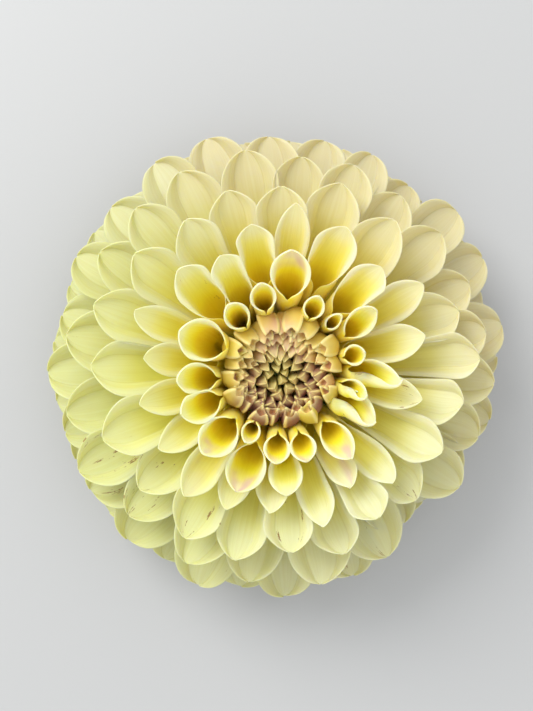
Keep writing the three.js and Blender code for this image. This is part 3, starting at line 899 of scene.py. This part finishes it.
petal_veins, given, result = shared_effect(
    "petal_veins", {"Along": FLOAT, "Side": FLOAT, "Mood": FLOAT}, {"Mask": FLOAT}
)
here = petal_veins
across = maths(here, "MULTIPLY", given["Side"], VEINS_ACROSS)
along = maths(here, "MULTIPLY", given["Along"], VEINS_ALONG)
shift = maths(here, "MULTIPLY", given["Mood"], 30.0)
streaks = noise(here, vector(here, across, along, shift), 1.0, 4.0, 0.6)
here.links.new(mask(here, streaks, 0.3, 0.7), result["Mask"])

# %% Painted light and shade: a greener cast on the lit left of the head and a warm peach cast in the shade on its right
GREENER = (0.95, 1.0, 0.74, 1)
PEACH = (1.0, 0.9, 0.92, 1)

painted_light_cast, given, result = shared_effect("painted_light_cast", {"Color": COLOUR, "Age": FLOAT}, {"Color": COLOUR})
here = painted_light_cast
spot = on_piece(here)
x, y = part_of(here, spot, "X"), part_of(here, spot, "Y")
uneven = maths(here, "MULTIPLY_ADD", noise(here, spot, 34.0, 2.0), 0.05, -0.025)
leftward = maths(here, "MULTIPLY_ADD", y, -0.35, maths(here, "MULTIPLY_ADD", x, -1.0, uneven))
rightward = maths(here, "MULTIPLY_ADD", y, 0.85, maths(here, "MULTIPLY_ADD", x, 0.75, uneven))
felt = maths(here, "MULTIPLY_ADD", given["Age"], 0.3, 0.65)
skin = given["Color"]
# painted light: the left is tinted greener where the light falls, the right peach where the shade is warm,
# older florets more
for sun_side, reach, tint in ((leftward, 0.06, GREENER), (rightward, 0.05, PEACH)):
    tinted = maths(here, "MULTIPLY", mask(here, sun_side, 0.0, reach), felt)
    skin = blend(here, tinted, skin, tint, "MULTIPLY")
here.links.new(skin, result["Color"])

# %% Blush and brown flecks
BLUSH = (0.62, 0.41, 0.4, 1)
FLECK = (0.2, 0.075, 0.015, 1)
DARKEST_FLECK = 0.85

petal_marks, given, result = shared_effect(
    "petal_marks",
    {"Color": COLOUR, "Along": FLOAT, "Side": FLOAT, "Mood": FLOAT, "Blush": FLOAT, "Flecks": FLOAT},
    {"Color": COLOUR},
)
here = petal_marks
shift = maths(here, "MULTIPLY", given["Mood"], 50.0)
cloud = mask(here, noise(here, vector(here, given["Side"], given["Along"], shift), 1.3, 1.0), 0.25, 0.75)
inside = maths(here, "MULTIPLY", mask(here, given["Along"], 0.15, 0.5), cloud)
from_middle = maths(here, "ABSOLUTE", given["Side"])
inside = maths(here, "MULTIPLY", inside, mask(here, from_middle, 0.35, 0.85, 1.0, 0.0))
blushed = blend(here, maths(here, "MULTIPLY", inside, given["Blush"]), given["Color"], BLUSH)
speck_place = vector(here, maths(here, "MULTIPLY", given["Side"], 1.3), given["Along"], shift)
speckle = noise(here, speck_place, 3.6, 5.0, 0.68)
specks = mask(here, maths(here, "MULTIPLY_ADD", given["Flecks"], 0.05, speckle), 0.69, 0.72)
specks = maths(here, "MULTIPLY", specks, maths(here, "MINIMUM", given["Flecks"], DARKEST_FLECK))
here.links.new(blend(here, specks, blushed, FLECK), result["Color"])

# %% Petal materials
VEIN_TINT = (0.8, 0.68, 0.26, 1)
VEIN_TINTING = 0.16
VEIN_BUMP = 0.12
PETAL_SCATTER = (1.0, 0.75, 0.2)


def petal_material(name, roughness, scatter):
    """A floret's tissue: colour along it, veins, painted light and shade on the head's sides, blush and
    flecks.
    """
    material, tree, shader = new_material(name, roughness)
    age, mood = stored(tree, "age"), stored(tree, "mood")
    where = {"Along": stored(tree, "from_mouth"), "Side": stored(tree, "side"), "Mood": mood}
    base = use_effect(tree, petal_colour, {**where, "Age": age})["Color"]
    veins = use_effect(tree, petal_veins, where)["Mask"]
    veined = blend(tree, mask(tree, veins, 0.0, 1.0, 0.0, VEIN_TINTING), base, VEIN_TINT, "MULTIPLY")
    sided = use_effect(tree, painted_light_cast, {"Color": veined, "Age": age})["Color"]
    marks = {**where, "Color": sided, "Blush": stored(tree, "blush"), "Flecks": stored(tree, "flecks")}
    tree.links.new(use_effect(tree, petal_marks, marks)["Color"], shader.inputs["Base Color"])
    add_relief(tree, shader, veins, VEIN_BUMP, 0.15)
    uneven = mask(tree, veins, 0.0, 1.0, roughness - 0.05, roughness + 0.06)
    tree.links.new(uneven, shader.inputs["Roughness"])
    let_light_in(shader, scatter, PETAL_SCATTER, 2)
    shader.inputs["Sheen Weight"].default_value = 0.08
    shader.inputs["Specular IOR Level"].default_value = 0.35
    return material


for slot, roughness, scatter in (("petal", 0.5, 0.5), ("young_petal", 0.45, 0.75)):
    tissue = petal_material(slot, roughness, scatter)
    for piece in florets[slot]:
        piece.data.materials.append(tissue)

# %% Material of the unopened florets
BUD_MAUVE = (0.27, 0.115, 0.085, 1)
BUD_PINK = (0.58, 0.32, 0.23, 1)
BUD_PEACH = (0.62, 0.38, 0.17, 1)
BUD_YELLOW = (0.68, 0.54, 0.08, 1)
BUD_CREAM = (0.8, 0.67, 0.26, 1)
BUD_GREEN = (0.62, 0.55, 0.16, 1)
BUD_PITS = ((0.5, 0.24, 0.1, 1), (0.74, 0.52, 0.18, 1))

bud, tree, shader = new_material("bud", 0.5)
spot = on_piece(tree)
x, y = part_of(tree, spot, "X"), part_of(tree, spot, "Y")
ridge_mask, pit_mask, height = stored(tree, "ridge"), stored(tree, "pit"), stored(tree, "height")
mood, ripe = stored(tree, "mood"), stored(tree, "ripe")
# peach with pink spots, mauve on the lower half of the disc
skin = blend(tree, mask(tree, noise(tree, spot, 190.0, 2.0), 0.42, 0.6), BUD_PEACH, BUD_PINK)
lowness = maths(tree, "MULTIPLY_ADD", y, -45.0, -0.1)
mauve = maths(tree, "MULTIPLY_ADD", mood, 0.6, lowness)
mauve = maths(tree, "MULTIPLY_ADD", noise(tree, spot, 260.0, 3.0), 0.8, mauve)
skin = blend(tree, mask(tree, mauve, 0.35, 0.9), skin, BUD_MAUVE)
# yellow where they ripen first, at both sides, and low on each shaft
sunny = maths(tree, "MULTIPLY_ADD", x, 1.0, maths(tree, "MULTIPLY", y, 0.9))
leftward = maths(tree, "MULTIPLY_ADD", x, -1.0, maths(tree, "MULTIPLY", y, 0.4))
ripe = maths(tree, "MAXIMUM", mask(tree, ripe, 0.55, 0.8), mask(tree, sunny, 0.008, 0.016, 0.0, 0.8))
ripe = maths(tree, "MAXIMUM", ripe, mask(tree, leftward, 0.006, 0.013, 0.0, 0.85))
skin = blend(tree, ripe, skin, BUD_YELLOW)
skin = blend(tree, mask(tree, height, 0.25, 0.6, 0.9, 0.0), skin, BUD_YELLOW)
# green round the growing point, cream on ridges and lips, and the pits
growth = [(disc + grows) * MM for disc, grows in zip(DISC_CENTRE, GROWTH_CENTRE)]
from_growth = from_axis(tree, spot, (*growth, 0))
skin = blend(tree, mask(tree, from_growth, 2 * MM, 8 * MM, 0.85, 0.0), skin, BUD_GREEN)
skin = blend(tree, mask(tree, ridge_mask, 0.3, 0.8, 0.0, 0.88), skin, BUD_CREAM)
skin = blend(tree, mask(tree, height, 0.86, 1.0, 0.0, 0.4), skin, BUD_CREAM)
pit_colour = blend(tree, mask(tree, mood, 0.3, 0.8), *BUD_PITS)
skin = blend(tree, mask(tree, pit_mask, 0.2, 0.7, 0.0, 0.95), skin, pit_colour)
tree.links.new(skin, shader.inputs["Base Color"])
add_relief(tree, shader, noise(tree, spot, 900.0), 0.1, 0.1)
let_light_in(shader, 0.3, (1.0, 0.6, 0.3), 0.8)
for piece in buds:
    piece.data.materials.append(bud)

# %% [markdown]
# ## Green parts
#
# Bracts, receptacle and stem are one kind of skin: pale green flesh under a mottled darker green, with
# streaks along it. The thin inner bracts dry out to a yellow brown at their tips, and the cut end shows
# pale flesh.

# %% Green skin
green_skin, given, result = shared_effect(
    "green_skin", {"Streaks": FLOAT, "Light": COLOUR, "Dark": COLOUR}, {"Color": COLOUR, "Relief": FLOAT}
)
here = green_skin
mottle = noise(here, on_piece(here), 420.0, 4.0, 0.65)
both = maths(here, "MULTIPLY_ADD", given["Streaks"], 0.5, maths(here, "MULTIPLY", mottle, 0.5))
here.links.new(blend(here, mask(here, both, 0.32, 0.66), given["Light"], given["Dark"]), result["Color"])
here.links.new(both, result["Relief"])


def green_material(name, roughness, streaks_of, light, dark):
    """Fleshy green skin. The streaks are made by a function that is given the material's tree."""
    material, tree, shader = new_material(name, roughness)
    skin = use_effect(tree, green_skin, {"Streaks": streaks_of(tree), "Light": light, "Dark": dark})
    add_relief(tree, shader, skin["Relief"], 0.25, 0.2)
    uneven = mask(tree, skin["Relief"], 0.3, 0.7, roughness - 0.07, roughness + 0.08)
    tree.links.new(uneven, shader.inputs["Roughness"])
    let_light_in(shader, 0.15, (0.6, 1.0, 0.25), 1)
    return material, tree, shader, skin["Color"]


def bract_streaks(tree):
    """Veins along a bract."""
    where = {"Along": stored(tree, "from_mouth"), "Side": stored(tree, "side")}
    return use_effect(tree, petal_veins, where)["Mask"]


def upright_streaks(tree):
    """Streaks that run up a stem: a noise that changes fast around it and slowly along it."""
    inputs = {0: on_piece(tree), 1: (1, 1, 0.12)}
    squeezed = add(tree, "ShaderNodeVectorMath", inputs, operation="MULTIPLY").outputs[0]
    return noise(tree, squeezed, 900.0, 3.0)


# %% Materials of the green parts
BRACT_GREENS = ((0.24, 0.4, 0.07, 1), (0.1, 0.22, 0.035, 1))
BRACT_DRY = (0.42, 0.3, 0.09, 1)
RECEPTACLE_GREENS = ((0.4, 0.5, 0.16, 1), (0.22, 0.34, 0.08, 1))
STEM_GREENS = ((0.26, 0.38, 0.09, 1), (0.13, 0.24, 0.045, 1))
CUT_FLESH = (0.62, 0.66, 0.32, 1)
HOLLOW_PITH = (0.75, 0.74, 0.55, 1)

bract, tree, shader, skin = green_material("bract", 0.45, bract_streaks, *BRACT_GREENS)
along, side = stored(tree, "from_mouth"), maths(tree, "ABSOLUTE", stored(tree, "side"))
edge = maths(tree, "MAXIMUM", mask(tree, along, 0.75, 1.0, 0.0, 0.8), mask(tree, side, 0.8, 1.0, 0.0, 0.6))
tree.links.new(blend(tree, edge, skin, BRACT_DRY), shader.inputs["Base Color"])

receptacle_skin, tree, shader, skin = green_material(
    "receptacle_skin", 0.5, upright_streaks, *RECEPTACLE_GREENS
)
tree.links.new(skin, shader.inputs["Base Color"])

# the cut end of the stem shows pale flesh, and its hollow pith
stem_skin, tree, shader, skin = green_material("stem_skin", 0.42, upright_streaks, *STEM_GREENS)
spot = on_piece(tree)
height, out = part_of(tree, spot, "Z"), from_axis(tree, spot)
low = mask(tree, height, 1.05 * MM, 1.35 * MM, 1.0, 0.0)
within = mask(tree, out, 2.7 * MM, 3.05 * MM, 1.0, 0.0)
skin = blend(tree, maths(tree, "MULTIPLY", low, within), skin, CUT_FLESH)
skin = blend(tree, mask(tree, out, 1.85 * MM, 2.1 * MM, 1.0, 0.0), skin, HOLLOW_PITH)
tree.links.new(skin, shader.inputs["Base Color"])

flower_base.data.materials.append(receptacle_skin)
cut_stem.data.materials.append(stem_skin)
for piece in bracts:
    piece.data.materials.append(bract)

# %% Floor and light
FLOOR_GREY = (0.5, 0.5, 0.49, 1)
SKY = (0.95, 0.97, 1.0, 1)

bpy.ops.object.select_all(action="DESELECT")
bpy.ops.mesh.primitive_plane_add(size=4)
floor = bpy.context.object
floor.name = "floor"
floor_paint = bpy.data.materials.new("floor_paint")
floor_paint.use_nodes = True
floor_paint.node_tree.nodes["Principled BSDF"].inputs["Base Color"].default_value = FLOOR_GREY
floor.data.materials.append(floor_paint)

world = bpy.data.worlds.new("studio")
bpy.context.scene.world = world
world.use_nodes = True
world.node_tree.nodes["Background"].inputs["Color"].default_value = SKY
world.node_tree.nodes["Background"].inputs["Strength"].default_value = 1.0

key_place = Vector((-0.56, 0.56, 0.72))
bpy.ops.object.light_add(type="AREA", location=key_place)
key_light = bpy.context.object
key_light.name = "key_light"
key_light.data.size = 0.6
key_light.data.energy = 8
key_light.rotation_euler = (Vector((0, 0, 0.03)) - key_place).to_track_quat("-Z", "Y").to_euler()
bpy.context.scene.view_settings.view_transform = "Standard"
print("light:", key_light.name, key_light.data.energy, "W")

# %% Camera
SENSOR = 36
LENS = 55.291
CAMERA_HEIGHT = 330 * MM
RIM_HEIGHT = 22 * MM
TILT_LEFT, TILT_UP = math.radians(2.6), math.radians(0.4)

camera_data = bpy.data.cameras.new("camera")
camera = bpy.data.objects.new("camera", camera_data)
bpy.context.scene.collection.objects.link(camera)
bpy.context.scene.camera = camera
camera_data.sensor_width = SENSOR
camera_data.lens = LENS
camera_data.clip_start = 0.01
aim = Vector((-3.0 * MM, 3.5 * MM, RIM_HEIGHT))
above_rim = CAMERA_HEIGHT - RIM_HEIGHT
beside = (-above_rim * math.tan(TILT_LEFT), above_rim * math.tan(TILT_UP), above_rim)
camera.location = aim + Vector(beside)
forward = (aim - camera.location).normalized()
right = forward.cross(Vector((0, 1, 0))).normalized()
above = right.cross(forward)
turn = Matrix((right, above, -forward)).transposed()
camera.matrix_world = Matrix.Translation(camera.location) @ turn.to_4x4()
print("camera above the rim, metres:", above_rim)
